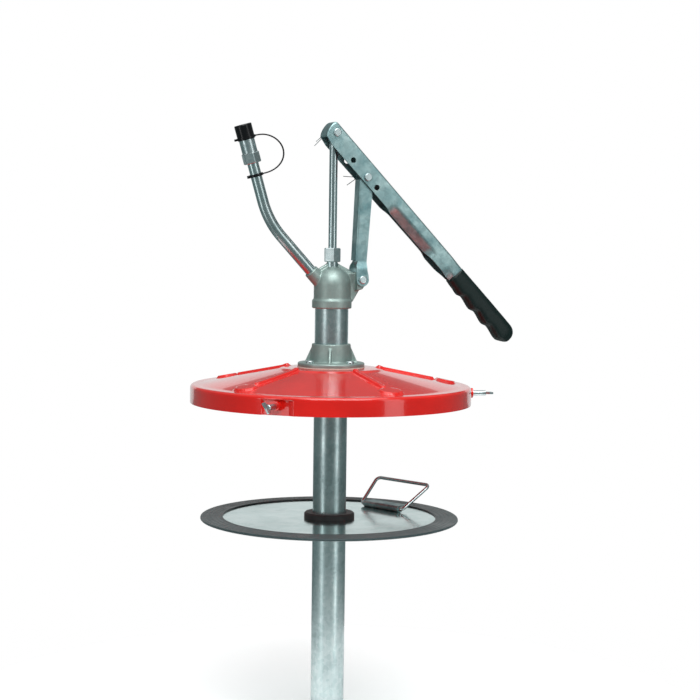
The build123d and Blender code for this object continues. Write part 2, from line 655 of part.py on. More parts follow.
lean = math.radians(BAIL_LEAN)
reach = (outward * math.cos(lean) + Vector(0, 0, math.sin(lean))) * BAIL_REACH
with BuildPart() as bail:
    foot_l, foot_r = (hinge_centre + across * (side * BAIL_FOOT) for side in (-1, 1))
    top_l, top_r = (hinge_centre + reach + across * (side * BAIL_TOP) for side in (-1, 1))
    with BuildLine():
        FilletPolyline(foot_r - across * 12, foot_r, top_r, top_l, foot_l, foot_l + across * 12, radius=5)
    with BuildSketch(Plane(origin=foot_r - across * 12, z_dir=across)):
        Circle(WIRE_R)
    sweep()
save(bail, "bail")

# ---- lever ----
lever_plane = side_plane(PIN_A, -LEVER_DROP)
WEB = 8.4                # pin A to the lever's outer web face
DEPTH = 22.2             # web face to flange edge
HALF_W = 11.8            # half the lever's width
RIDGE = -4.0             # bend line of the pinched length, from pin A
LOW = WEB - DEPTH
ARM_END = 240.0
b_local = lever_plane.to_local_coords(PIN_B)
HOLE_OUT = 77.4          # spare pivot hole beyond the link
HOLE_IN = 35.6           # spare pivot hole before the link
SPARE_R = 3.25


def lever_section(distance, half, edge_y, edge_n):
    """Channel section across the lever; edge_y and edge_n place each flange's free edge."""
    side = [(half, WEB), (half, RIDGE), (edge_y, edge_n), (edge_y - SHEET, edge_n),
            (half - SHEET, RIDGE + 0.4), (half - SHEET, WEB - SHEET)]
    mirrored = [(-y, n) for y, n in reversed(side)]
    plane = Plane(origin=lever_plane.from_local_coords(Vector(distance, 0, 0)),
                  x_dir=(0, 1, 0), z_dir=-lever_plane.x_dir)
    flip = 1 if plane.y_dir.dot(lever_plane.y_dir) > 0 else -1
    with BuildSketch(plane) as section:
        with BuildLine():
            Polyline(*[(y, flip * n) for y, n in side + mirrored], close=True)
        make_face()
    return section.sketch


TOE_IN = HALF_W - 0.3     # the open flanges lean in a little at their free edge
PINCH_Y = 4.2             # half width of the pinched edge
TANG_W = 8.6              # half width inside the grip
STATIONS = [(12, HALF_W, TOE_IN, LOW), (101, HALF_W, TOE_IN, LOW + 0.6), (114, HALF_W, PINCH_Y, LOW + 0.8),
            (171, HALF_W, PINCH_Y, LOW + 1.3), (184, HALF_W, TOE_IN, LOW + 1.5),
            (196, HALF_W, TOE_IN - 0.2, LOW + 1.6), (214, TANG_W + 1.4, PINCH_Y + 0.8, LOW + 2.0),
            (217, TANG_W + 1.2, PINCH_Y + 0.6, LOW + 2.2), (222, TANG_W, PINCH_Y, LOW + 4.4),
            (ARM_END, TANG_W, PINCH_Y, LOW + 4.4)]
with BuildPart() as lever_arm:
    for before, after in zip(STATIONS, STATIONS[1:]):
        loft([lever_section(*before), lever_section(*after)], ruled=True)
    with BuildSketch(lever_plane):
        with BuildLine():
            Polyline((12, WEB), (-10.6, WEB), (-11, 3), (-10, -4), (-8, -9), (-5.2, -12.4), (-3, LOW), (12, LOW),
                     close=True)
        make_face()
    extrude(amount=HALF_W, both=True)
    with BuildSketch(lever_plane):
        with BuildLine():
            Polyline((14, WEB - SHEET), (-8.6, WEB - SHEET), (-9, 3), (-8, -3.6), (-6.2, -8), (-4, -11),
                     (-6.5, -14), (-8, -30), (14, -30), close=True)
        make_face()
    extrude(amount=HALF_W - SHEET, both=True, mode=Mode.SUBTRACT)
    for s, n in ((0, 0), (b_local.X, b_local.Y)):
        with BuildSketch(lever_plane):
            with Locations((s, n)):
                Circle(PIN_R)
        extrude(amount=20, both=True, mode=Mode.SUBTRACT)
    for s in (HOLE_IN, HOLE_OUT):
        with BuildSketch(lever_plane):
            with Locations((s, b_local.Y)):
                Circle(SPARE_R)
        extrude(amount=20, both=True, mode=Mode.SUBTRACT)
save(lever_arm, "lever_arm")

GRIP_START = 218.5
GRIP_END = 324.5
GRIP_TOP = 9.8           # grip's top from pin A's level in the lever
GRIP_W = 10.8            # half the grip's width
with BuildPart() as handle_grip:
    # dipped plastic grip moulded on the channel: flat-sided oval with four finger swells underneath
    with BuildSketch(lever_plane):
        with BuildLine():
            Polyline((GRIP_START, GRIP_TOP), (GRIP_START, -12.0))
            Spline((GRIP_START, -12.0), (229, -12.9), (239, -14.0), (245.8, -11.6), (255, -13.0), (262.5, -14.0),
                   (270.2, -11.4), (279, -12.9), (286.3, -14.0), (293.7, -11.5), (303, -12.9), (312, -14.0),
                   (319, -11.4))
            Spline((319, -11.4), (GRIP_END, -2.5), (320, 7.6))
            Spline((320, 7.6), (312, GRIP_TOP + 0.2), (270, GRIP_TOP + 0.4), (GRIP_START, GRIP_TOP))
        make_face()
    extrude(amount=GRIP_W, both=True)
    fillet(handle_grip.edges().filter_by(Plane.XZ), 5.0)
    add(lever_arm.part, mode=Mode.SUBTRACT)
save(handle_grip, "handle_grip")


PIN_HEAD_R = 4.6
LEG_GAP = 0.5            # split pin: half the distance between its legs
LEG_R = 0.4


def clevis_pin(centre, head_y, end_y, cotter_y):
    """Domed clevis pin along Y with its head towards -Y and a cross hole for the cotter."""
    with BuildSketch(Plane.XZ.offset(-end_y)) as shank:
        with Locations((centre.X, centre.Z)):
            Circle(PIN_R)
    extrude(shank.sketch, amount=end_y - head_y)
    with BuildSketch(Plane.XZ.offset(-head_y)) as head:
        with Locations((centre.X, centre.Z)):
            Circle(PIN_HEAD_R)
    extrude(head.sketch, amount=2.0)
    fillet(edges().filter_by(GeomType.CIRCLE).sort_by(Axis.Y)[0], 1.2)
    with Locations(Location((centre.X, cotter_y, centre.Z), (0, 90, 0))):
        Cylinder(LEG_GAP + LEG_R + 0.1, 20, mode=Mode.SUBTRACT)


def cotter(centre, cotter_y, legs):
    """Split pin through the clevis pin: an eye on the right, two legs ending at these (x, z) offsets."""
    for side, (leg_x, leg_z) in zip((1, -1), legs):
        start = centre + Vector(5.6, cotter_y, LEG_GAP * side)
        bend = centre + Vector(-4, cotter_y, LEG_GAP * side)
        with BuildLine() as leg:
            FilletPolyline(start, bend, centre + Vector(leg_x, cotter_y, leg_z), radius=1.5)
        with BuildSketch(Plane(origin=start, z_dir=(-1, 0, 0))) as wire:
            Circle(LEG_R)
        sweep(wire.sketch, path=leg.line)
    with Locations(Location(centre + Vector(6.7, cotter_y, 0), (90, 0, 0))):
        Torus(1.4, 0.6)


# name, axis, head side face, shank end, split pin's place along the shank, its two leg ends
PINS = [("rod_pin", PIN_A, -HALF_W, 16.2, 14.2, ((-16.0, -9.5), (-18.0, -14.5))),
        ("link_pin", PIN_B, -HALF_W, 16.2, 14.2, ((-20.4, 1.2), (-15.8, -8.7))),
        ("pivot_pin", PIN_C, -12.7, 17.2, 15.2, ((-10.5, 3.1), (-10.5, -3.1)))]
for name, centre, head_y, end_y, cotter_y, legs in PINS:
    with BuildPart() as pin:
        clevis_pin(centre, head_y, end_y, cotter_y)
    save(pin, name)
    with BuildPart() as split_pin:
        cotter(centre, cotter_y, legs)
    save(split_pin, name.replace("pin", "cotter"))

# ---- link between lever and pump head ----
LINK_W = 8.5             # half the link's width
LINK_BACK = 8.4          # pin line to the link's web
LINK_FRONT = 5.0         # pin line to the flanges' free edge
LINK_DEPTH = LINK_BACK + LINK_FRONT
EAR_W = 12.7             # pump centre plane to an ear's outer face
EAR_R = 7.4
SET_LOW = 10.8           # the flanges are set out to the ears between these two, from the pivot
SET_HIGH = 21.5
link_axis = PIN_B - PIN_C
link_tilt = math.degrees(math.atan2(link_axis.Z, link_axis.X))
LINK_LONG = link_axis.length
link_plane = side_plane(PIN_C, link_tilt)
with BuildPart() as link:
    with BuildSketch(link_plane):
        with BuildLine():
            Polyline((SET_HIGH, -LINK_FRONT), (LINK_LONG, -LINK_FRONT - 3.0), (LINK_LONG + 7.6, -2),
                     (LINK_LONG + 7.6, 3), (LINK_LONG, 8.2), (LINK_LONG - 12, LINK_BACK), (SET_HIGH, LINK_BACK),
                     close=True)
        make_face()
    extrude(amount=LINK_W, both=True)
    with BuildSketch(link_plane):
        with Locations((60, LINK_BACK - SHEET - 20)):
            Rectangle(200, 40)
    extrude(amount=LINK_W - SHEET, both=True, mode=Mode.SUBTRACT)
    # the web stops short of the upper eye, so the lever's pin can pass through the flanges
    with BuildSketch(link_plane):
        with Locations((LINK_LONG, 10)):
            Rectangle(24.2, 24)
    extrude(amount=LINK_W - SHEET, both=True, mode=Mode.SUBTRACT)
    for side in (-1, 1):
        with BuildSketch(link_plane.offset(side * (EAR_W - SHEET / 2) - SHEET / 2)):
            with BuildLine():
                Polyline((0, -EAR_R), (6, -EAR_R), (SET_LOW, -LINK_FRONT), (SET_LOW, LINK_BACK), (6, EAR_R),
                         (0, EAR_R), close=True)
            make_face()
            Circle(EAR_R)
        extrude(amount=SHEET)
        with BuildSketch(Plane(origin=link_plane.from_local_coords(Vector(0, -LINK_FRONT, 0)),
                               x_dir=link_plane.x_dir, z_dir=link_plane.y_dir)):
            with BuildLine():
                ear_out, ear_in = -side * EAR_W, -side * (EAR_W - SHEET)
                flange_out, flange_in = -side * LINK_W, -side * (LINK_W - SHEET)
                Polyline((SET_LOW, ear_in), (SET_LOW, ear_out), (SET_HIGH, flange_out),
                         (SET_HIGH + 1, flange_out), (SET_HIGH + 1, flange_in), (SET_HIGH, flange_in), close=True)
            make_face()
        extrude(amount=LINK_DEPTH)
    with BuildSketch(link_plane):
        Circle(PIN_R)
        # the link's upper eye is long enough for the lever's pin to float in over the stroke
        with Locations((LINK_LONG - 0.1, 0.05)):
            RectangleRounded(9.6, 11.4, 3.5)
    extrude(amount=20, both=True, mode=Mode.SUBTRACT)
save(link, "link")
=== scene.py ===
import json
import math

import bmesh
import bpy
import numpy as np
from mathutils import Matrix, Vector


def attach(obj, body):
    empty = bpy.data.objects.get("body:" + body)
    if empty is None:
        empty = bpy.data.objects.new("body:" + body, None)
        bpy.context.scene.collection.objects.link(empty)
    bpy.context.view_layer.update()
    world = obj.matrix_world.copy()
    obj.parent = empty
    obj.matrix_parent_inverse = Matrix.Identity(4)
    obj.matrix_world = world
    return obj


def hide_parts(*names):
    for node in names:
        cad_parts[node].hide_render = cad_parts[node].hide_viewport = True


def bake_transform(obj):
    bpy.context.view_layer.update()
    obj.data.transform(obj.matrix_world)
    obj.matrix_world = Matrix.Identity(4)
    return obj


# Looks of a hand-lever pail pump: a material for every piece, finer meshes for the pressed, cast
# and moulded ones, the cap's strap as a cord, and a plain studio. The scene is in metres, in the
# frame's own axes; the meshes made here are worked out in millimetres and scaled by MM.

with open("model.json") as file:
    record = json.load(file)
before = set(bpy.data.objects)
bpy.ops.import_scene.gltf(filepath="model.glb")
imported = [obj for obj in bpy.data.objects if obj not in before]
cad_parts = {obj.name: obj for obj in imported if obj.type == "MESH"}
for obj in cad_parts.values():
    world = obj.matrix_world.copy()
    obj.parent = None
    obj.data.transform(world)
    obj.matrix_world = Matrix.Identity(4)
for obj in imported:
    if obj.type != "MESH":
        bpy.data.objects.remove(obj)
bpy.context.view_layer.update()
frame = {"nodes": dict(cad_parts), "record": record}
MM = 0.001


# ---------------------------------------------------------------- studio and camera

VIEW_AZIMUTH = -20.0      # degrees; 0 looks along +Y
VIEW_DISTANCE = 1.95      # from the pump's axis
VIEW_HEIGHT = 0.176
VIEW_PITCH = 3.96         # degrees down
VIEW_PAN = 0.627          # degrees to the right
VIEW_ROLL = 0.745         # degrees
LENS = 88.46              # millimetres
CLIP_END = 60

FLOOR_Z = -0.3815
FLOOR_R = 0.45
FLOOR_STEPS = 96
FLOOR_COLOR = (0.93, 0.93, 0.93)
FLOOR_GLOW = 0.4

# name, azimuth from the camera's, elevation, distance, width, height, power
LIGHTS = [
    ("left_box", -48, 4, 1.9, 0.50, 2.2, 6.0),
    ("right_box", 50, 4, 1.9, 0.55, 2.2, 6.0),
    ("back_wall", 180, 5, 2.6, 3.6, 1.1, 7),
    ("front_fill", 8, 48, 2.2, 1.8, 1.4, 32),
    ("top_box", 20, 80, 2.0, 1.8, 1.8, 15),
]
# what surfaces see round them: (0 straight down, 0.5 level, 1 straight up; colour)
WORLD_STOPS = [(0.50, (0.15, 0.20, 0.20)), (0.70, (0.16, 0.17, 0.17)), (1.0, (0.55, 0.56, 0.56))]


def circle(steps):
    """Angles once round, evenly spaced."""
    return [2 * math.pi * k / steps for k in range(steps)]


def horizontal(azimuth):
    """Unit vector from the object towards a viewer at this azimuth."""
    a = math.radians(azimuth)
    return Vector((math.sin(a), -math.cos(a), 0))


def photo_camera():
    """The photograph's view, fitted to the outlines of lid, follower and tube."""
    back = horizontal(VIEW_AZIMUTH)
    side = Vector((-back.y, back.x, 0))
    pan, pitch, roll = (math.radians(x) for x in (VIEW_PAN, VIEW_PITCH, VIEW_ROLL))
    level = side * math.sin(pan) - back * math.cos(pan)
    right = level.cross(Vector((0, 0, 1))).normalized()
    forward = level * math.cos(pitch) - Vector((0, 0, math.sin(pitch)))
    up = right.cross(forward)
    right, up = (right * math.cos(roll) + up * math.sin(roll),
                 up * math.cos(roll) - right * math.sin(roll))
    camera = bpy.data.objects.new("camera", bpy.data.cameras.new("camera"))
    turn = Matrix((right, up, -forward)).transposed().to_4x4()
    place = back * VIEW_DISTANCE + Vector((0, 0, VIEW_HEIGHT))
    camera.matrix_world = Matrix.Translation(place) @ turn
    camera.data.lens = LENS
    camera.data.clip_end = CLIP_END
    bpy.context.scene.collection.objects.link(camera)
    bpy.context.scene.camera = camera


def softbox(name, azimuth, elevation, distance, width, height, power):
    """An area light seen from the object at this azimuth and elevation."""
    light = bpy.data.lights.new(name, "AREA")
    light.shape = "RECTANGLE"
    light.size, light.size_y = width, height
    light.energy = power
    lamp = bpy.data.objects.new(name, light)
    e = math.radians(elevation)
    out = horizontal(azimuth) * math.cos(e) + Vector((0, 0, math.sin(e)))
    lamp.location = out * distance
    lamp.rotation_euler = out.to_track_quat("Z", "Y").to_euler()
    lamp.visible_camera = False
    bpy.context.scene.collection.objects.link(lamp)


def studio():
    """Soft boxes all round, and a world that is white to the camera and grey to everything else."""
    for name, azimuth, *rest in LIGHTS:
        softbox(name, VIEW_AZIMUTH + azimuth, *rest)
    scene = bpy.context.scene
    scene.view_settings.view_transform = "Standard"
    world = bpy.data.worlds.new("studio")
    scene.world = world
    world.use_nodes = True
    nodes, links = world.node_tree.nodes, world.node_tree.links
    nodes.clear()
    output = nodes.new("ShaderNodeOutputWorld")
    mix = nodes.new("ShaderNodeMixShader")
    seen = nodes.new("ShaderNodeBackground")
    seen.inputs["Color"].default_value = (1, 1, 1, 1)
    around = nodes.new("ShaderNodeBackground")
    ramp = nodes.new("ShaderNodeValToRGB")
    stops = ramp.color_ramp.elements
    stops.new(0.5)
    for stop, (position, color) in zip(stops, WORLD_STOPS):
        stop.position = position
        stop.color = (*color, 1)
    direction = nodes.new("ShaderNodeTexCoord")
    split = nodes.new("ShaderNodeSeparateXYZ")
    half = nodes.new("ShaderNodeMath")      # from -1..1 to 0..1
    half.operation = "MULTIPLY_ADD"
    half.inputs[1].default_value = 0.5
    half.inputs[2].default_value = 0.5
    path = nodes.new("ShaderNodeLightPath")
    links.new(direction.outputs["Generated"], split.inputs[0])
    links.new(split.outputs["Z"], half.inputs[0])
    links.new(half.outputs[0], ramp.inputs[0])
    links.new(ramp.outputs["Color"], around.inputs["Color"])
    links.new(path.outputs["Is Camera Ray"], mix.inputs[0])
    links.new(around.outputs[0], mix.inputs[1])
    links.new(seen.outputs[0], mix.inputs[2])
    links.new(mix.outputs[0], output.inputs["Surface"])


def floor():
    """A pale round floor under the pump's foot."""
    mesh = bpy.data.meshes.new("floor")
    rim = [Vector((FLOOR_R * math.cos(t), FLOOR_R * math.sin(t), FLOOR_Z)) for t in circle(FLOOR_STEPS)]
    mesh.from_pydata(rim, [], [list(range(FLOOR_STEPS))])
    plate = bpy.data.objects.new("floor", mesh)
    bpy.context.scene.collection.objects.link(plate)
    look = Look("floor_look", FLOOR_COLOR, rough=0.7, Emission_Color=(1, 1, 1, 1),
                Emission_Strength=FLOOR_GLOW)
    look.bump(look.noise(40, 3), 0.02)
    mesh.materials.append(look.material)


# ---------------------------------------------------------------- material helpers

class Look:
    """A Principled material with its nodes wired from object coordinates."""

    def __init__(self, name, color, metallic=0.0, rough=0.5, **sockets):
        self.material = bpy.data.materials.new(name)
        self.material.use_nodes = True
        self.nodes = self.material.node_tree.nodes
        self.links = self.material.node_tree.links
        self.bsdf = self.nodes["Principled BSDF"]
        self.bsdf.inputs["Base Color"].default_value = (*color, 1)
        self.bsdf.inputs["Metallic"].default_value = metallic
        self.bsdf.inputs["Roughness"].default_value = rough
        for key, value in sockets.items():
            self.bsdf.inputs[key.replace("_", " ")].default_value = value
        self.coords = self.nodes.new("ShaderNodeTexCoord").outputs["Object"]
        self.normal = None

    def stretched(self, scale):
        mapping = self.nodes.new("ShaderNodeMapping")
        mapping.inputs["Scale"].default_value = scale
        self.links.new(self.coords, mapping.inputs["Vector"])
        return mapping.outputs["Vector"]

    def noise(self, scale, detail=4, rough=0.55, stretch=None, distortion=0.0):
        node = self.nodes.new("ShaderNodeTexNoise")
        node.inputs["Scale"].default_value = scale
        node.inputs["Detail"].default_value = detail
        node.inputs["Roughness"].default_value = rough
        node.inputs["Distortion"].default_value = distortion
        where = self.stretched(stretch) if stretch else self.coords
        self.links.new(where, node.inputs["Vector"])
        return node.outputs["Fac"]

    def cells(self, scale):
        node = self.nodes.new("ShaderNodeTexVoronoi")
        node.inputs["Scale"].default_value = scale
        self.links.new(self.coords, node.inputs["Vector"])
        return node.outputs["Color"]

    def ramp(self, value, *stops):
        """stops are (position, grey or colour)."""
        node = self.nodes.new("ShaderNodeValToRGB")
        ramp = node.color_ramp
        while len(ramp.elements) < len(stops):
            ramp.elements.new(0.5)
        for element, (position, color) in zip(ramp.elements, stops):
            element.position = position
            color = (color, color, color) if isinstance(color, float) else color
            element.color = (*color, 1)
        self.links.new(value, node.inputs[0])
        return node.outputs["Color"]

    def mix(self, fac, a, b, blend="MIX"):
        node = self.nodes.new("ShaderNodeMix")
        node.data_type = "RGBA"
        node.blend_type = blend
        self._feed(node.inputs[0], fac)
        self._feed(node.inputs[6], a)
        self._feed(node.inputs[7], b)
        return node.outputs[2]

    def maths(self, operation, a, b):
        node = self.nodes.new("ShaderNodeMath")
        node.operation = operation
        self._feed(node.inputs[0], a)
        self._feed(node.inputs[1], b)
        return node.outputs[0]

    def _feed(self, socket, value):
        if isinstance(value, bpy.types.NodeSocket):
            self.links.new(value, socket)
        elif isinstance(value, tuple):
            socket.default_value = (*value, 1)
        else:
            socket.default_value = value

    def feed(self, socket, value):
        self.links.new(value, self.bsdf.inputs[socket])

    def bump(self, height, strength, distance=0.001):
        """Raises the surface by height, on top of any bump given before."""
        node = self.nodes.new("ShaderNodeBump")
        node.inputs["Strength"].default_value = strength
        node.inputs["Distance"].default_value = distance
        self.links.new(height, node.inputs["Height"])
        if self.normal:
            self.links.new(self.normal, node.inputs["Normal"])
        self.normal = node.outputs["Normal"]
        self.links.new(self.normal, self.bsdf.inputs["Normal"])


SPANGLE_STRENGTH = 0.30
DRAWN_SCALE = 900
DRAWN_SHADE = 0.62


def shaded(color, share):
    return tuple(share * c for c in color)


def zinc(name, dark, light, streak, rough, spangle=260, mottle=55, grain=0.06, lines=0.22):
    """Bright zinc plate: a cloudy tint from dark to light, crystal spangle, and drawn streaks.

    streak scales the streaks' coordinates, rough is the lowest and highest roughness, spangle and
    mottle are features to the metre, grain is the streaks' bump and lines their shade."""
    look = Look(name, light, metallic=1.0, rough=0.25)
    cloud = look.noise(mottle, 5, 0.6, distortion=0.4)
    crystal = look.ramp(look.cells(spangle), (0.15, 0.30), (0.85, 0.70))
    drawn = look.noise(DRAWN_SCALE, 3, 0.6, stretch=streak)
    tint = look.ramp(cloud, (0.32, dark), (0.68, light))
    tint = look.mix(SPANGLE_STRENGTH, tint, crystal, "OVERLAY")
    tint = look.mix(look.ramp(drawn, (0.35, 0.0), (0.75, lines)), tint, shaded(light, DRAWN_SHADE))
    look.feed("Base Color", tint)
    low, high = rough
    haze = look.ramp(cloud, (0.3, 1.0), (0.7, 0.4))
    if grain:
        haze = look.maths("MULTIPLY", haze, look.ramp(drawn, (0.3, 0.7), (0.7, 1.0)))
        look.bump(drawn, grain, 0.0004)
    look.feed("Roughness", look.ramp(haze, (0.35, low), (1.0, high)))
    return look.material


def cast_alloy(name):
    """Die-cast aluminium: grey-green clouds, with brighter, finer sand over them."""
    look = Look(name, (0.42, 0.46, 0.43), metallic=0.7, rough=0.5)
    cloud = look.noise(70, 6, 0.62)
    sand = look.noise(1700, 4, 0.7)
    skin = look.ramp(cloud, (0.3, (0.24, 0.33, 0.31)), (0.7, (0.38, 0.48, 0.45)))
    grains = look.ramp(sand, (0.35, 0.0), (0.8, 0.35))
    look.feed("Base Color", look.mix(grains, skin, (0.50, 0.59, 0.56)))
    look.feed("Roughness", look.ramp(cloud, (0.3, 0.58), (0.75, 0.38)))
    look.bump(look.noise(260, 4, 0.6), 0.10, 0.0006)
    look.bump(sand, 0.12, 0.0003)
    return look.material


def enamel(name, color):
    """Gloss enamel on pressed steel: clear coat, slight orange peel, faint unevenness of shade."""
    look = Look(name, color, rough=0.32, Coat_Weight=0.8, Coat_Roughness=0.03,
                Specular_IOR_Level=0.4)
    uneven = look.ramp(look.noise(18, 4), (0.3, 0.0), (0.7, 1.0))
    look.feed("Base Color", look.mix(uneven, shaded(color, 0.80), color))
    look.feed("Roughness", look.ramp(look.noise(420, 4), (0.3, 0.12), (0.8, 0.24)))
    look.bump(look.noise(160, 2, 0.4), 0.02, 0.0005)
    return look.material


def polished(name, color, lines):
    """Ground and polished steel with very fine lines; lines scales their coordinates."""
    look = Look(name, color, metallic=1.0, rough=0.15)
    grain = look.noise(1400, 3, 0.7, stretch=lines)
    look.feed("Base Color", look.ramp(grain, (0.3, shaded(color, 0.88)), (0.75, color)))
    look.feed("Roughness", look.ramp(look.noise(90, 4), (0.3, 0.18), (0.75, 0.28)))
    return look.material


def rubber(name, color, rough):
    """Moulded rubber with a dusty bloom."""
    look = Look(name, color, rough=rough, Specular_IOR_Level=0.35, Sheen_Weight=0.15,
                Sheen_Roughness=0.5)
    bloom = look.noise(38, 6, 0.65)
    dusty = tuple(min(1.0, 1.9 * c + 0.02) for c in color)
    look.feed("Base Color", look.mix(look.ramp(bloom, (0.42, 0.0), (0.82, 0.5)), color, dusty))
    look.feed("Roughness", look.ramp(bloom, (0.3, rough - 0.14), (0.8, rough + 0.12)))
    look.bump(look.noise(900, 4, 0.6), 0.05, 0.0003)
    return look.material


def plastic(name, color, rough, grain=0.0):
    """Moulded plastic with faint flow marks and handling haze; grain adds a fine matt skin."""
    look = Look(name, color, rough=rough, Specular_IOR_Level=0.32)
    haze = look.noise(60, 5, 0.6)
    worn = tuple(1.9 * c + 0.004 for c in color)
    look.feed("Base Color", look.mix(look.ramp(haze, (0.45, 0.0), (0.8, 0.35)), color, worn))
    look.feed("Roughness", look.ramp(haze, (0.3, rough - 0.06), (0.75, rough + 0.10)))
    look.bump(look.noise(240, 3), 0.05, 0.0005)
    if grain:
        look.bump(look.noise(900, 3, 0.6), grain, 0.0003)
    return look.material


def fibre(name):
    """Pressed packing and gasket fibre with pale flecks."""
    look = Look(name, (0.62, 0.60, 0.54), rough=0.85)
    fleck = look.noise(1100, 5, 0.7)
    look.feed("Base Color", look.ramp(fleck, (0.3, (0.42, 0.40, 0.35)), (0.7, (0.72, 0.70, 0.63))))
    look.bump(fleck, 0.3, 0.0003)
    return look.material


photo_camera()
studio()
floor()

# scales of a material's coordinates, which draw its grain out along one way
ALONG_Z = (1, 1, 0.02)
ALL_WAYS = (1, 1, 1)
ALONG_LEVER = (0.25, 1, 0.25)
ROUND_Z = (1, 1, 6)

TUBE_DARK, TUBE_LIGHT = (0.38, 0.48, 0.49), (0.60, 0.71, 0.71)
FITTING_DARK, FITTING_LIGHT = (0.46, 0.55, 0.56), (0.66, 0.74, 0.75)
SHEET_DARK, SHEET_LIGHT = (0.19, 0.34, 0.36), (0.45, 0.61, 0.61)
PLATE_DARK, PLATE_LIGHT = (0.53, 0.66, 0.65), (0.68, 0.81, 0.80)

LOOKS = {
    "zinc_tube": zinc("zinc_tube_look", TUBE_DARK, TUBE_LIGHT, ALONG_Z, (0.28, 0.44),
                      mottle=24, grain=0.03),
    "zinc_fitting": zinc("zinc_fitting_look", FITTING_DARK, FITTING_LIGHT, ALL_WAYS, (0.24, 0.38),
                         grain=0, lines=0.06),
    "zinc_sheet": zinc("zinc_sheet_look", SHEET_DARK, SHEET_LIGHT, ALONG_LEVER, (0.40, 0.56),
                       spangle=180, mottle=60),
    "galvanised_plate": zinc("galvanised_look", PLATE_DARK, PLATE_LIGHT, ALL_WAYS, (0.10, 0.20),
                             spangle=90, mottle=16, grain=0.004, lines=0.03),
    "cast_alloy": cast_alloy("cast_alloy_look"),
    "red_paint": enamel("red_enamel_look", (0.84, 0.011, 0.006)),
    "bright_steel": polished("bright_steel_look", (0.62, 0.71, 0.72), ROUND_Z),
    "valve_steel": polished("valve_steel_look", (0.60, 0.60, 0.61), (1, 1, 4)),
    "grey_rubber": rubber("grey_rubber_look", (0.030, 0.054, 0.058), 0.46),
    "black_rubber": rubber("black_rubber_look", (0.018, 0.018, 0.019), 0.62),
    "grip_pvc": plastic("grip_pvc_look", (0.002, 0.011, 0.010), 0.42, 0.06),
    "black_plastic": plastic("black_plastic_look", (0.005, 0.005, 0.006), 0.22),
    "packing_fibre": fibre("packing_fibre_look"),
}
slot_of = {s["node"]: s["material_slot"] for s in frame["record"]["subparts"]}


def dress(obj, slot):
    """Give the object its slot's material alone."""
    obj.data.materials.clear()
    obj.data.materials.append(LOOKS[slot])


for node, obj in frame["nodes"].items():
    dress(obj, slot_of[node])
cotter_look = polished("cotter_look", (0.16, 0.19, 0.19), ROUND_Z)
for node in ("rod_cotter", "link_cotter", "pivot_cotter"):
    frame["nodes"][node].data.materials[0] = cotter_look
frame["nodes"]["spout_tube"].data.materials[0] = zinc(
    "spout_look", (0.42, 0.52, 0.53), TUBE_LIGHT, ALL_WAYS, (0.24, 0.32),
    spangle=60, mottle=14, grain=0, lines=0.02)
frame["nodes"]["piston_rod"].data.materials[0] = polished("rod_look", (0.60, 0.70, 0.71), ALONG_Z)


# ---------------------------------------------------------------- mesh helpers, in millimetres

EDGE_ANGLE = 40       # degrees


def new_object(name, points, faces):
    """An object from points in millimetres."""
    mesh = bpy.data.meshes.new(name)
    mesh.from_pydata((np.asarray(points, float) * MM).tolist(), [], faces)
    obj = bpy.data.objects.new(name, mesh)
    bpy.context.scene.collection.objects.link(obj)
    return obj


def applied(obj):
    """Keep what the object's modifiers give as its own mesh."""
    shown = obj.evaluated_get(bpy.context.evaluated_depsgraph_get())
    done = bpy.data.meshes.new_from_object(shown)
    obj.modifiers.clear()
    obj.data = done


def cleaned(obj, merge=0.001):
    """Join points nearer than merge, and turn every face outwards."""
    work = bmesh.new()
    work.from_mesh(obj.data)
    bmesh.ops.remove_doubles(work, verts=work.verts, dist=merge * MM)
    bmesh.ops.recalc_face_normals(work, faces=work.faces)
    work.to_mesh(obj.data)
    work.free()
    return obj


def edged(obj, width):
    """Small rounded edges wherever faces meet more sharply than EDGE_ANGLE."""
    bevel = obj.modifiers.new("edge", "BEVEL")
    bevel.width = width * MM
    bevel.segments = 2
    bevel.limit_method = "ANGLE"
    bevel.angle_limit = math.radians(EDGE_ANGLE)
    bevel.use_clamp_overlap = True
    applied(obj)


def drilled(obj, cutters):
    """Cut closed meshes, given as new objects, out of obj."""
    for cutter in cutters:
        cut = obj.modifiers.new("cut", "BOOLEAN")
        cut.operation = "DIFFERENCE"
        cut.solver = "EXACT"
        cut.object = cutter
    applied(obj)
    for cutter in cutters:
        bpy.data.objects.remove(cutter)


def finished(obj, body, slot, *nodes, crease=32, flats=False):
    """Shade, dress and hand the piece to its body, in place of these CAD nodes.

    crease is the angle from which an edge shows sharp; flats keeps broad faces flat."""
    obj.data.shade_smooth()
    obj.data.set_sharp_from_angle(angle=math.radians(crease))
    if flats:
        weigh = obj.modifiers.new("flats", "WEIGHTED_NORMAL")
        weigh.keep_sharp = True
        applied(obj)
    dress(obj, slot)
    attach(obj, body)
    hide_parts(*nodes)


def quads(rows, count, closed_rows=False, closed_ring=False):
    """Faces of a grid of points, row after row."""
    faces = []
    for r in range(rows if closed_rows else rows - 1):
        a, b = r * count, (r + 1) % rows * count
        for k in range(count if closed_ring else count - 1):
            j = (k + 1) % count
            faces.append((a + k, a + j, b + j, b + k))
    return faces


def sheet_loft(name, sections):
    """A folded sheet: each section is its outer and its inner path, with as many points in each."""
    rings = [list(outer) + list(inner)[::-1] for outer, inner in sections]
    count, half = len(rings[0]), len(rings[0]) // 2
    faces = quads(len(rings), count, closed_ring=True)
    for base in (0, (len(rings) - 1) * count):
        faces += [(base + k, base + k + 1, base + count - 2 - k, base + count - 1 - k)
                  for k in range(half - 1)]
    return new_object(name, [p for ring in rings for p in ring], faces)


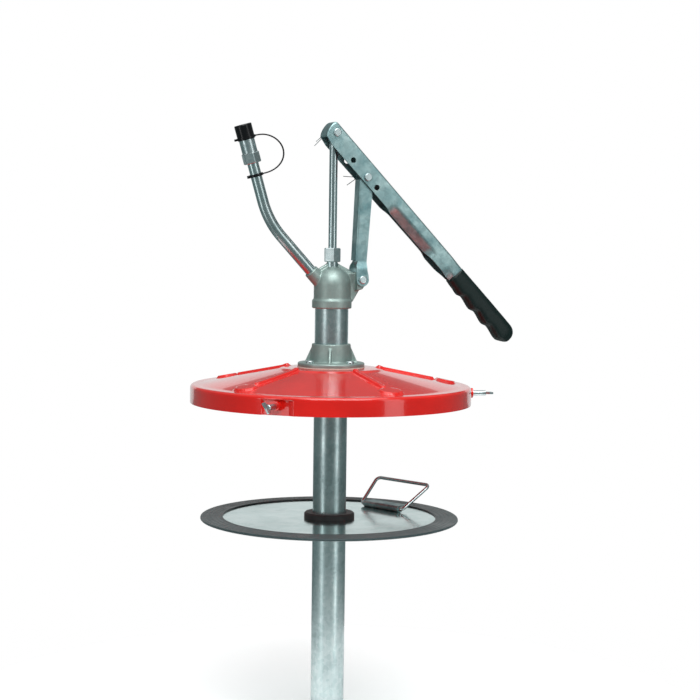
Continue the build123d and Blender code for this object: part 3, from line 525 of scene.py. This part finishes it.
def solid_loft(name, rings):
    """A closed form through rings of points, its ends closed with one face each."""
    count = len(rings[0])
    faces = quads(len(rings), count, closed_ring=True)
    faces += [tuple(range(count))[::-1], tuple(range((len(rings) - 1) * count, len(rings) * count))]
    return new_object(name, [p for ring in rings for p in ring], faces)


def lathe(name, profile, steps=288):
    """A closed profile of (radius, z) turned about the pump axis."""
    points = [(r * math.cos(t), r * math.sin(t), z) for t in circle(steps) for r, z in profile]
    return new_object(name, points, quads(steps, len(profile), closed_rows=True, closed_ring=True))


def rod(name, start, end, radius, steps=32):
    """A closed cylinder between two points, used to cut holes."""
    start, end = Vector(start), Vector(end)
    turn = (end - start).to_track_quat("Z", "Y")
    ring = [Vector((radius * math.cos(t), radius * math.sin(t), 0)) for t in circle(steps)]
    return solid_loft(name, [[tuple(p + turn @ q) for q in ring] for p in (start, end)])


def bent(corners, reaches, steps=5):
    """A 2-D path with its inner corners rounded, each over its reach, in steps pieces."""
    corners = [Vector(c) for c in corners]
    path = [corners[0]]
    for before, here, after, reach in zip(corners, corners[1:], corners[2:], reaches):
        a = here + (before - here).normalized() * reach
        b = here + (after - here).normalized() * reach
        for k in range(steps + 1):
            t = k / steps
            path.append(a * (1 - t) ** 2 + here * 2 * t * (1 - t) + b * t ** 2)
    return path + [corners[-1]]


def squared(value, power):
    """value with its size raised to power and its sign kept."""
    return math.copysign(abs(value) ** power, value)


def ease(t):
    """From 0 to 1 as t does, with level ends."""
    t = min(max(t, 0.0), 1.0)
    return t * t * (3 - 2 * t)


# ---------------------------------------------------------------- dust cap's strap

# (x, z) from the cap's eye to the spout's, in the plane y = 0
STRAP_ROUTE = [(-92.2, 280.5), (-86.5, 281.9), (-78.6, 281.6), (-70.9, 279.0), (-64.6, 274.4),
               (-60.4, 268.4), (-58.9, 261.2), (-60.4, 254.0), (-64.9, 247.4), (-71.4, 242.6),
               (-78.4, 239.6), (-83.4, 238.5)]
STRAP_WIDE = 2.3
STRAP_THICK = 1.6
STRAP_SQUARE = 0.6        # 1 gives an oval section, less a squarer one
STRAP_STEPS = 16


def strap():
    """A thin moulded strip from the cap's eye to the spout's eye."""
    line = bpy.data.curves.new("strap_line", "CURVE")
    line.dimensions = "3D"
    line.resolution_u = 10
    spline = line.splines.new("NURBS")
    spline.points.add(len(STRAP_ROUTE) - 1)
    for point, (x, z) in zip(spline.points, STRAP_ROUTE):
        point.co = (x * MM, 0, z * MM, 1)
    spline.order_u = 3
    spline.use_endpoint_u = True
    guide = bpy.data.objects.new("strap_line", line)
    path = [Vector(v.co) for v in bpy.data.meshes.new_from_object(guide).vertices]
    bpy.data.objects.remove(guide)
    rings = []
    for k, here in enumerate(path):
        along = (path[min(k + 1, len(path) - 1)] - path[max(k - 1, 0)]).normalized()
        out = Vector((-along.z, 0, along.x))
        ring = []
        for t in circle(STRAP_STEPS):
            across = Vector((0, squared(math.cos(t), STRAP_SQUARE) * STRAP_WIDE / 2, 0))
            ring.append(tuple(here / MM + across + out * math.sin(t) * STRAP_THICK / 2))
        rings.append(ring)
    obj = cleaned(solid_loft("cap_strap_strip", rings))
    obj.data.shade_smooth()
    dress(obj, "black_plastic")
    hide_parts("cap_strap")
    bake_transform(obj)


strap()


# ---------------------------------------------------------------- pressed lid

LID_SHEET = 1.5
SKIRT_R = 159.5
SKIRT_LOW = -19.0
CONE_TOP = (60.0, 18.9)           # (radius, z)
CONE_FOOT = (147.0, 1.5)
SHOULDER = CONE_FOOT[0]
# corners from the hole to the skirt's edge, and how far each inner corner is rounded
LID_PATH = [(19.8, 21.5), (42, 21.5), (56, 20.8), CONE_TOP, CONE_FOOT,
            (SKIRT_R, CONE_FOOT[1]), (SKIRT_R, SKIRT_LOW)]
LID_ROUNDS = [4, 2.2, 2.2, 3.2, 4.5]

RIBS = 5
RIB_ANGLE = -9.3                  # degrees, the first rib
RIB_APART = 360 // RIBS
RIB_HEIGHT = 2.7
RIB_HALF = 4.0
RIB_START, RIB_END = -3.5, 58.5   # along the cone from CONE_TOP
RIB_FLANK = 1.9
RIB_CREST = 0.05
PAD_MIDDLE = 75.5                 # along the cone
PAD_LONG, PAD_WIDE = 12, 14       # half length and half width
PAD_SLOPE = 13
PRESSED_FROM = 50                 # radius inside which nothing is pressed
PRESS_LEAN = 0.2                  # how much a pressing leans outwards as it rises

POCKETS = 3                       # flats in the skirt, where the clamp screws go through
POCKET_ANGLE = -11.0              # degrees, the first pocket
POCKET_APART = 360 // POCKETS
POCKET_FLAT_R = 156.5
POCKET_HALF = 17.0
POCKET_TOP = -2.2
POCKET_SIDE = 6.25                # degrees from a pocket's middle to its side
POCKET_FLANK = 1.1
POCKET_REACH = 0.2                # radians from its middle within which a pocket is looked for

FINE_TURN, COARSE_TURN = 0.30, 1.5        # degrees from row to row
RIB_NEAR, SIDE_NEAR = 6.8, 0.9            # degrees within which the rows are fine
PAD_FROM = 111                            # radius from which the ribs' pads need fine steps
PAD_STEP, POCKET_STEP, CONE_STEP, PLAIN_STEP = 0.75, 0.4, 2.0, 3.0


def lid_profile():
    """(radius, z) of the lid's upper side from its hole to the skirt's edge, finer at pressings."""
    path = bent(LID_PATH, LID_ROUNDS, 6)
    fine = [path[0]]
    for a, b in zip(path, path[1:]):
        middle = (a + b) / 2
        if a.x > PAD_FROM and b.x < SHOULDER - 1:
            step = PAD_STEP
        elif abs(middle.y - POCKET_TOP) < 1.6 and middle.x > 157:      # the pockets' upper edge
            step = POCKET_STEP
        elif b.x - a.x > 20 and a.x > 57:                              # the cone
            step = CONE_STEP
        else:
            step = PLAIN_STEP
        parts = max(1, round((b - a).length / step))
        fine += [a + (b - a) * k / parts for k in range(1, parts + 1)]
    return fine


def from_nearest(degrees, first, pitch):
    """Degrees from the nearest of the directions first, first + pitch, and so on."""
    return (degrees - first + pitch / 2) % pitch - pitch / 2


def apart(a, b):
    """Degrees between two directions, at most 180."""
    return abs((a - b + 180) % 360 - 180)


def lid_angles():
    """Degrees round the lid, close together across each rib and each pocket's sides."""
    ribs = [RIB_ANGLE + RIB_APART * k for k in range(RIBS)]
    sides = [POCKET_ANGLE + POCKET_APART * k + side * POCKET_SIDE
             for k in range(POCKETS) for side in (-1, 1)]
    angles, a = [], 0.0
    while a < 359.99:
        angles.append(a)
        near_rib = min(apart(a, r) for r in ribs) < RIB_NEAR
        near_side = min(apart(a, p) for p in sides) < SIDE_NEAR
        a += FINE_TURN if near_rib or near_side else COARSE_TURN
    return angles


def rib_height(r, degrees):
    """How far the pressing stands above the cone: five ribs, each with an oval pad near the rim."""
    side = r * math.radians(from_nearest(degrees, RIB_ANGLE, RIB_APART))
    slope = math.atan2(CONE_TOP[1] - CONE_FOOT[1], CONE_FOOT[0] - CONE_TOP[0])
    along = (r - CONE_TOP[0]) / math.cos(slope)
    bar = RIB_HALF - math.hypot(side, max(0.0, RIB_START - along, along - RIB_END))
    pad = PAD_SLOPE * (1 - math.hypot((along - PAD_MIDDLE) / PAD_LONG, side / PAD_WIDE))
    return RIB_HEIGHT * max(ease(bar / RIB_FLANK + RIB_CREST), ease(pad / RIB_FLANK + RIB_CREST))


def lid():
    """The lid's one sheet: its upper side shaped point by point, and an underside LID_SHEET below."""
    profile, angles = lid_profile(), lid_angles()
    top = np.zeros((len(angles), len(profile), 3))
    for i, degrees in enumerate(angles):
        a = math.radians(degrees)
        off = math.radians(from_nearest(degrees, POCKET_ANGLE, POCKET_APART))
        for j, (r, z) in enumerate(profile):
            lift = rib_height(r, degrees) if PRESSED_FROM < r < SHOULDER and z > 0 else 0.0
            if z < 0.5 and abs(off) < POCKET_REACH:
                flat = POCKET_FLAT_R / math.cos(off)
                inside = min(POCKET_HALF - POCKET_FLAT_R * math.tan(abs(off)), POCKET_TOP - z)
                r += (min(flat, r) - r) * ease(inside / POCKET_FLANK + 0.5)
            out = r + PRESS_LEAN * lift
            top[i, j] = (out * math.cos(a), out * math.sin(a), z + lift)
    round_way = np.roll(top, -1, 0) - np.roll(top, 1, 0)
    out_way = np.gradient(top, axis=1)
    normal = np.cross(out_way, round_way)
    normal /= np.linalg.norm(normal, axis=2, keepdims=True)
    under = top - normal * LID_SHEET
    points = np.concatenate([top, under[:, ::-1]], axis=1).reshape(-1, 3)
    faces = quads(len(angles), 2 * len(profile), closed_rows=True, closed_ring=True)
    obj = cleaned(new_object("pressed_lid", points, faces))
    finished(obj, "root", "red_paint", "lid", "lid_skirt", crease=50)


lid()


# ---------------------------------------------------------------- lever, grip and link

PIN_A = Vector((0, 0, 286))           # lever to piston rod
PIN_B = Vector((37.6, 0, 236.8))      # lever to link
PIN_C = Vector((32.5, 0, 120.8))      # link to head
DROP = math.radians(46.25)            # the lever's slope at rest
LEVER_ALONG = Vector((math.cos(DROP), 0, -math.sin(DROP)))
LEVER_UP = Vector((math.sin(DROP), 0, math.cos(DROP)))
SHEET = 2.0
# on the lever: s runs from PIN_A towards the grip, n up from the line through it
LEVER_HALF = 11.8
LEVER_WEB = 8.4                       # top, n
LEVER_LOW = -13.8                     # free edges, n
LEVER_FOLD = -4.0                     # where the pinched sides fold in, n
LEVER_EDGE = LEVER_HALF - 0.3         # half width at the free edges
PINCH_EDGE = 4.2                      # the same where the sides are pinched together
NOSE_HUB = (6, LEVER_LOW)
NOSE_FOLD = 0.44
SPARE_HOLES = (35.6, 77.4)
SPARE_HOLE_R = 3.25
# outline of the nose (s, n), from the free edge round to the top
NOSE = [(-6.2, -11.5), (-7.2, -10.2), (-8.1, -8.8), (-9.1, -6.6), (-10, -4), (-10.7, -0.5),
        (-10.95, 3), (-10.6, 5.2), (-9.9, 6.8), (-8.6, 7.9), (-6.6, 8.4), (-3, 8.4), (1.5, 8.4)]
# s, half width, free edge's half width, free edge's n
LEVER_STATIONS = [
    (6, LEVER_HALF, LEVER_EDGE, LEVER_LOW),
    (101, LEVER_HALF, LEVER_EDGE, LEVER_LOW + 0.6),
    (115, LEVER_HALF, PINCH_EDGE, LEVER_LOW + 0.8),
    (170, LEVER_HALF, PINCH_EDGE, LEVER_LOW + 1.3),
    (185, LEVER_HALF, LEVER_EDGE, LEVER_LOW + 1.5),
    (198, LEVER_HALF, LEVER_HALF - 0.8, LEVER_LOW + 1.6),
    (216, 9.8, 4.8, LEVER_LOW + 2.2),
    (223, 8.6, PINCH_EDGE, LEVER_LOW + 4.4),
    (240, 8.6, PINCH_EDGE, LEVER_LOW + 4.4),
]
# s of the sections, closer together where the sides fold in or narrow
LEVER_SPOTS = ([6, 20, 40, 60, 80, 95] + [101 + 1.4 * k for k in range(11)] + [125, 140, 155]
               + [168 + 1.7 * k for k in range(11)] + [192 + 2 * k for k in range(17)] + [240])


def on_lever(s, y, n):
    """The point at s along the lever, y across it and n above its line."""
    return tuple(PIN_A + LEVER_ALONG * s + LEVER_UP * n + Vector((0, y, 0)))


def channel(place, depth, half, edge, fold):
    """Outer and inner path of a channel section, open below.

    place(y, height) puts a point, half is the half width above the fold, and edge the free edge's."""
    bend = min(3.0, 0.3 * depth)
    soft = min(2.6, 0.22 * depth)
    outer = [(edge, 0), (half, fold), (half, depth), (-half, depth), (-half, fold), (-edge, 0)]
    inner = [(edge - SHEET, 0), (half - SHEET, fold + 0.4), (half - SHEET, depth - SHEET),
             (SHEET - half, depth - SHEET), (SHEET - half, fold + 0.4), (SHEET - edge, 0)]
    rounds = ((outer, [soft, bend, bend, soft]), (inner, [soft, 1.1, 1.1, soft]))
    return [[place(y, h) for y, h in bent(path, reach)] for path, reach in rounds]


def between(stations, s):
    """Eased values of the station table at s."""
    for (s0, *a), (s1, *b) in zip(stations, stations[1:]):
        if s <= s1:
            t = ease((s - s0) / (s1 - s0))
            return [x + (y - x) * t for x, y in zip(a, b)]
    return stations[-1][1:]


def lever():
    """Pressed channel: sections fan round NOSE_HUB for the nose, then follow the stations."""
    hub = Vector(NOSE_HUB)
    sections = []
    for s, n in NOSE:
        ray = Vector((s, n)) - hub
        depth = ray.length
        ray /= depth
        sections.append(channel(lambda y, h, d=ray: on_lever(hub.x + d.x * h, y, hub.y + d.y * h),
                                depth, LEVER_HALF, LEVER_EDGE, NOSE_FOLD * depth))
    for s in LEVER_SPOTS:
        half, edge, low = between(LEVER_STATIONS, s)
        sections.append(channel(lambda y, h, s=s, low=low: on_lever(s, y, low + h),
                                LEVER_WEB - low, half, edge, LEVER_FOLD - low))
    obj = cleaned(sheet_loft("lever_channel", sections))
    level = LEVER_UP.dot(PIN_B - PIN_A)
    drilled(obj, [rod(f"bore_{k}", on_lever(s, -20, level), on_lever(s, 20, level), SPARE_HOLE_R)
                  for k, s in enumerate(SPARE_HOLES)])
    edged(obj, 0.35)
    finished(obj, "lever", "zinc_sheet", "lever_arm", flats=True)


lever()

GRIP_START = 218.5                    # s
GRIP_END = 324.5
GRIP_LONG = 106
GRIP_HALF = 10.8
GRIP_TOP = 9.9                        # n
GRIP_CROWN = 0.3
GRIP_MIDDLE = -2.2
GRIP_LIP = 1.4
GRIP_ROUND = 310.5                    # where the rounded end begins
GRIP_ROUND_LONG = 14.02
GRIP_TIP = 13.5                       # length of the end that has the closest rings
GRIP_SQUARE = 0.62                    # 1 gives an oval section, less a squarer one
GRIP_STEPS = 44
# (s, n) of the underside, at the finger swells and between them
GRIP_UNDER = [(218.5, -12.0), (229, -12.9), (239, -14.0), (245.8, -11.6), (262.5, -14.0),
              (270.2, -11.4), (286.3, -14.0), (293.7, -11.5), (312, -14.0), (320, -12.4),
              (324.5, -12.4)]


def grip():
    """Dipped grip with four finger swells underneath and a rounded end."""
    rings = []
    spots = [GRIP_START, GRIP_START + 0.5, GRIP_START + GRIP_LIP] + [221 + 1.3 * k for k in range(69)]
    spots += [GRIP_END - GRIP_TIP * (1 - math.sin(math.pi / 2 * k / 12)) for k in range(1, 13)]
    for s in spots:
        (under,) = between(GRIP_UNDER, s)
        shrink = math.sqrt(max(0.0, 1 - (max(0.0, s - GRIP_ROUND) / GRIP_ROUND_LONG) ** 2))
        lip = 0.90 + 0.10 * ease((s - GRIP_START) / GRIP_LIP)
        over = GRIP_TOP + GRIP_CROWN * math.sin(math.pi * (s - GRIP_START) / GRIP_LONG)
        top = GRIP_MIDDLE + (over - GRIP_MIDDLE) * shrink * lip
        low = GRIP_MIDDLE + (under - GRIP_MIDDLE) * shrink * lip
        half = GRIP_HALF * shrink * lip
        ring = []
        for t in circle(GRIP_STEPS):
            y = squared(math.cos(t), GRIP_SQUARE) * half
            n = (top + low) / 2 + squared(math.sin(t), GRIP_SQUARE) * (top - low) / 2
            ring.append(on_lever(s, y, n))
        rings.append(ring)
    obj = cleaned(solid_loft("moulded_grip", rings), 0.02)
    finished(obj, "lever", "grip_pvc", "handle_grip", crease=50)


grip()

LINK_ALONG = (PIN_B - PIN_C).normalized()
LINK_LONG = (PIN_B - PIN_C).length
LINK_BACKWARD = Vector((-LINK_ALONG.z, 0, LINK_ALONG.x))
# on the link: t runs from PIN_C towards PIN_B, v from that line towards the piston rod
LINK_HALF = 8.5
LINK_BACK = 8.4                       # web, v
LINK_FRONT = 5.0                      # flanges' free edges at the foot, -v
LINK_SPREAD = 3.0                     # how much further the free edges stand out at the top
EAR_HALF = 12.7
EAR_R = 7.4
EAR_BACK = 7.9
EAR_LOW = 10.8                        # t at which the flanges are fully set out
EAR_HIGH = 21.5                       # t at which the web ends
WEB_TOP = LINK_LONG - 3
BEND = 2.6
LAP = 0.3                             # overlap of the parts that are joined


def on_link(t, y, v):
    """The point at t along the link, y across it and v off its line."""
    return tuple(PIN_C + LINK_ALONG * t + LINK_BACKWARD * v + Vector((0, y, 0)))


def link():
    """Pressed channel; its flanges are set out into ears at the foot and outrun the web at the top."""
    def front(t):
        return -LINK_FRONT - LINK_SPREAD * (t - EAR_HIGH) / (LINK_LONG - EAR_HIGH)

    def web_section(t):
        low = front(t)
        paths = []
        for inset in (0, SHEET):
            half, back = LINK_HALF - inset, LINK_BACK - inset
            path = bent([(half, low), (half, back), (-half, back), (-half, low)], [BEND - inset] * 2)
            paths.append([on_link(t, y, v) for y, v in path])
        return paths

    def plate(name, side, spots):
        """One flange alone: spots are (place along the link, outer face, front edge, back edge)."""
        sections = []
        for t, out, low, high in spots:
            levels = [low + (high - low) * k / 3 for k in range(4)]
            sections.append(([on_link(t, side * out, v) for v in levels],
                             [on_link(t, side * (out - SHEET), v) for v in levels]))
        return cleaned(sheet_loft(name, sections))

    straight = LINK_BACK - BEND
    web = [web_section(EAR_HIGH + (WEB_TOP - EAR_HIGH) * k / 8) for k in range(9)]
    parts = [cleaned(sheet_loft("link_web", web))]
    lower = [(EAR_HIGH + LAP, LINK_HALF, front(EAR_HIGH), straight)]
    for k in range(11):
        t = EAR_HIGH - (EAR_HIGH - EAR_LOW) * k / 10
        out = LINK_HALF + (EAR_HALF - LINK_HALF) * ease(k / 10)
        lower.append((t, out, -LINK_FRONT, straight + (EAR_BACK - straight) * ease(k / 6)))
    lower.append((6, EAR_HALF, -6.6, 7.7))
    for k in range(12):                   # the ear's round end
        a = math.pi / 2 * k / 11
        reach = max(EAR_R * math.cos(a), 0.4)
        lower.append((-EAR_R * math.sin(a), EAR_HALF, -reach, reach))
    upper = [(WEB_TOP - LAP, LINK_HALF, front(WEB_TOP), straight), (LINK_LONG, LINK_HALF, -8.0, 7.4),
             (LINK_LONG + 3.5, LINK_HALF, -6.6, 6.8), (LINK_LONG + 6.4, LINK_HALF, -4.0, 4.4),
             (LINK_LONG + 7.6, LINK_HALF, -2.0, 3.0)]
    for side in (-1, 1):
        parts.append(plate(f"link_ear_{side}", side, lower))
        parts.append(plate(f"link_top_{side}", side, upper))
    whole = parts[0]
    for other in parts[1:]:
        join = whole.modifiers.new("join", "BOOLEAN")
        join.operation = "UNION"
        join.solver = "EXACT"
        join.object = other
    applied(whole)
    for other in parts[1:]:
        bpy.data.objects.remove(other)
    edged(cleaned(whole), 0.30)
    whole.name = "link_channel"
    finished(whole, "link", "zinc_sheet", "link", flats=True)


link()


# ---------------------------------------------------------------- castings

CASTING_VOXEL = 0.75


def casting(name, node, rounds):
    """The CAD casting with every edge rounded as a die leaves it; more rounds soften it more."""
    obj = bpy.data.objects.new(name, frame["nodes"][node].data.copy())
    bpy.context.scene.collection.objects.link(obj)
    cleaned(obj, 0.01)
    remesh = obj.modifiers.new("skin", "REMESH")
    remesh.mode = "VOXEL"
    remesh.voxel_size = CASTING_VOXEL * MM
    smooth = obj.modifiers.new("round", "SMOOTH")
    smooth.factor = 0.5
    smooth.iterations = rounds
    applied(obj)
    finished(obj, "root", slot_of[node], node, crease=60)


casting("cast_head", "pump_head", 5)
casting("cast_flange", "tube_flange", 4)


# ---------------------------------------------------------------- follower's rubber rim

PLATE_TOP = -150.5
GROOVE_START, GROOVE_END = 124.0, 145.6       # radii
GROOVE_PITCH = 4.8
GROOVE_DEEP = 0.25
RIM_HIGH = 1.45                               # above the plate
RIM_SLOPE = 0.024
# (radius, height above the plate) of the inner lip, and of the wiping edge and the underside
RIM_LIP = [(121.5, 0.0), (121.5, 1.0), (121.9, 1.45), (122.6, 1.6), (123.4, 1.5)]
RIM_UNDER = [(146.3, 0.8), (146.8, 0.4), (147, -0.2), (147, -1.0), (146.4, -1.7), (145, -2.2),
             (137, -3.2), (128.6, -3.2), (128, -2.6), (128, -1.5), (136, -1.5), (136, 0.0)]


def seal():
    """Moulded rim with a rounded inner lip and fine turned grooves, drawn out to a thin wiping edge."""
    top = list(RIM_LIP)
    r = GROOVE_START
    while r < GROOVE_END:
        phase = math.cos(2 * math.pi * (r - GROOVE_START) / GROOVE_PITCH)
        top.append((r, RIM_HIGH - RIM_SLOPE * (r - GROOVE_START) - GROOVE_DEEP * (0.5 - 0.5 * phase)))
        r += GROOVE_PITCH / 8
    obj = cleaned(lathe("moulded_rim", [(r, PLATE_TOP + z) for r, z in top + RIM_UNDER]))
    finished(obj, "follower", "grey_rubber", "follower_seal", crease=45)


seal()
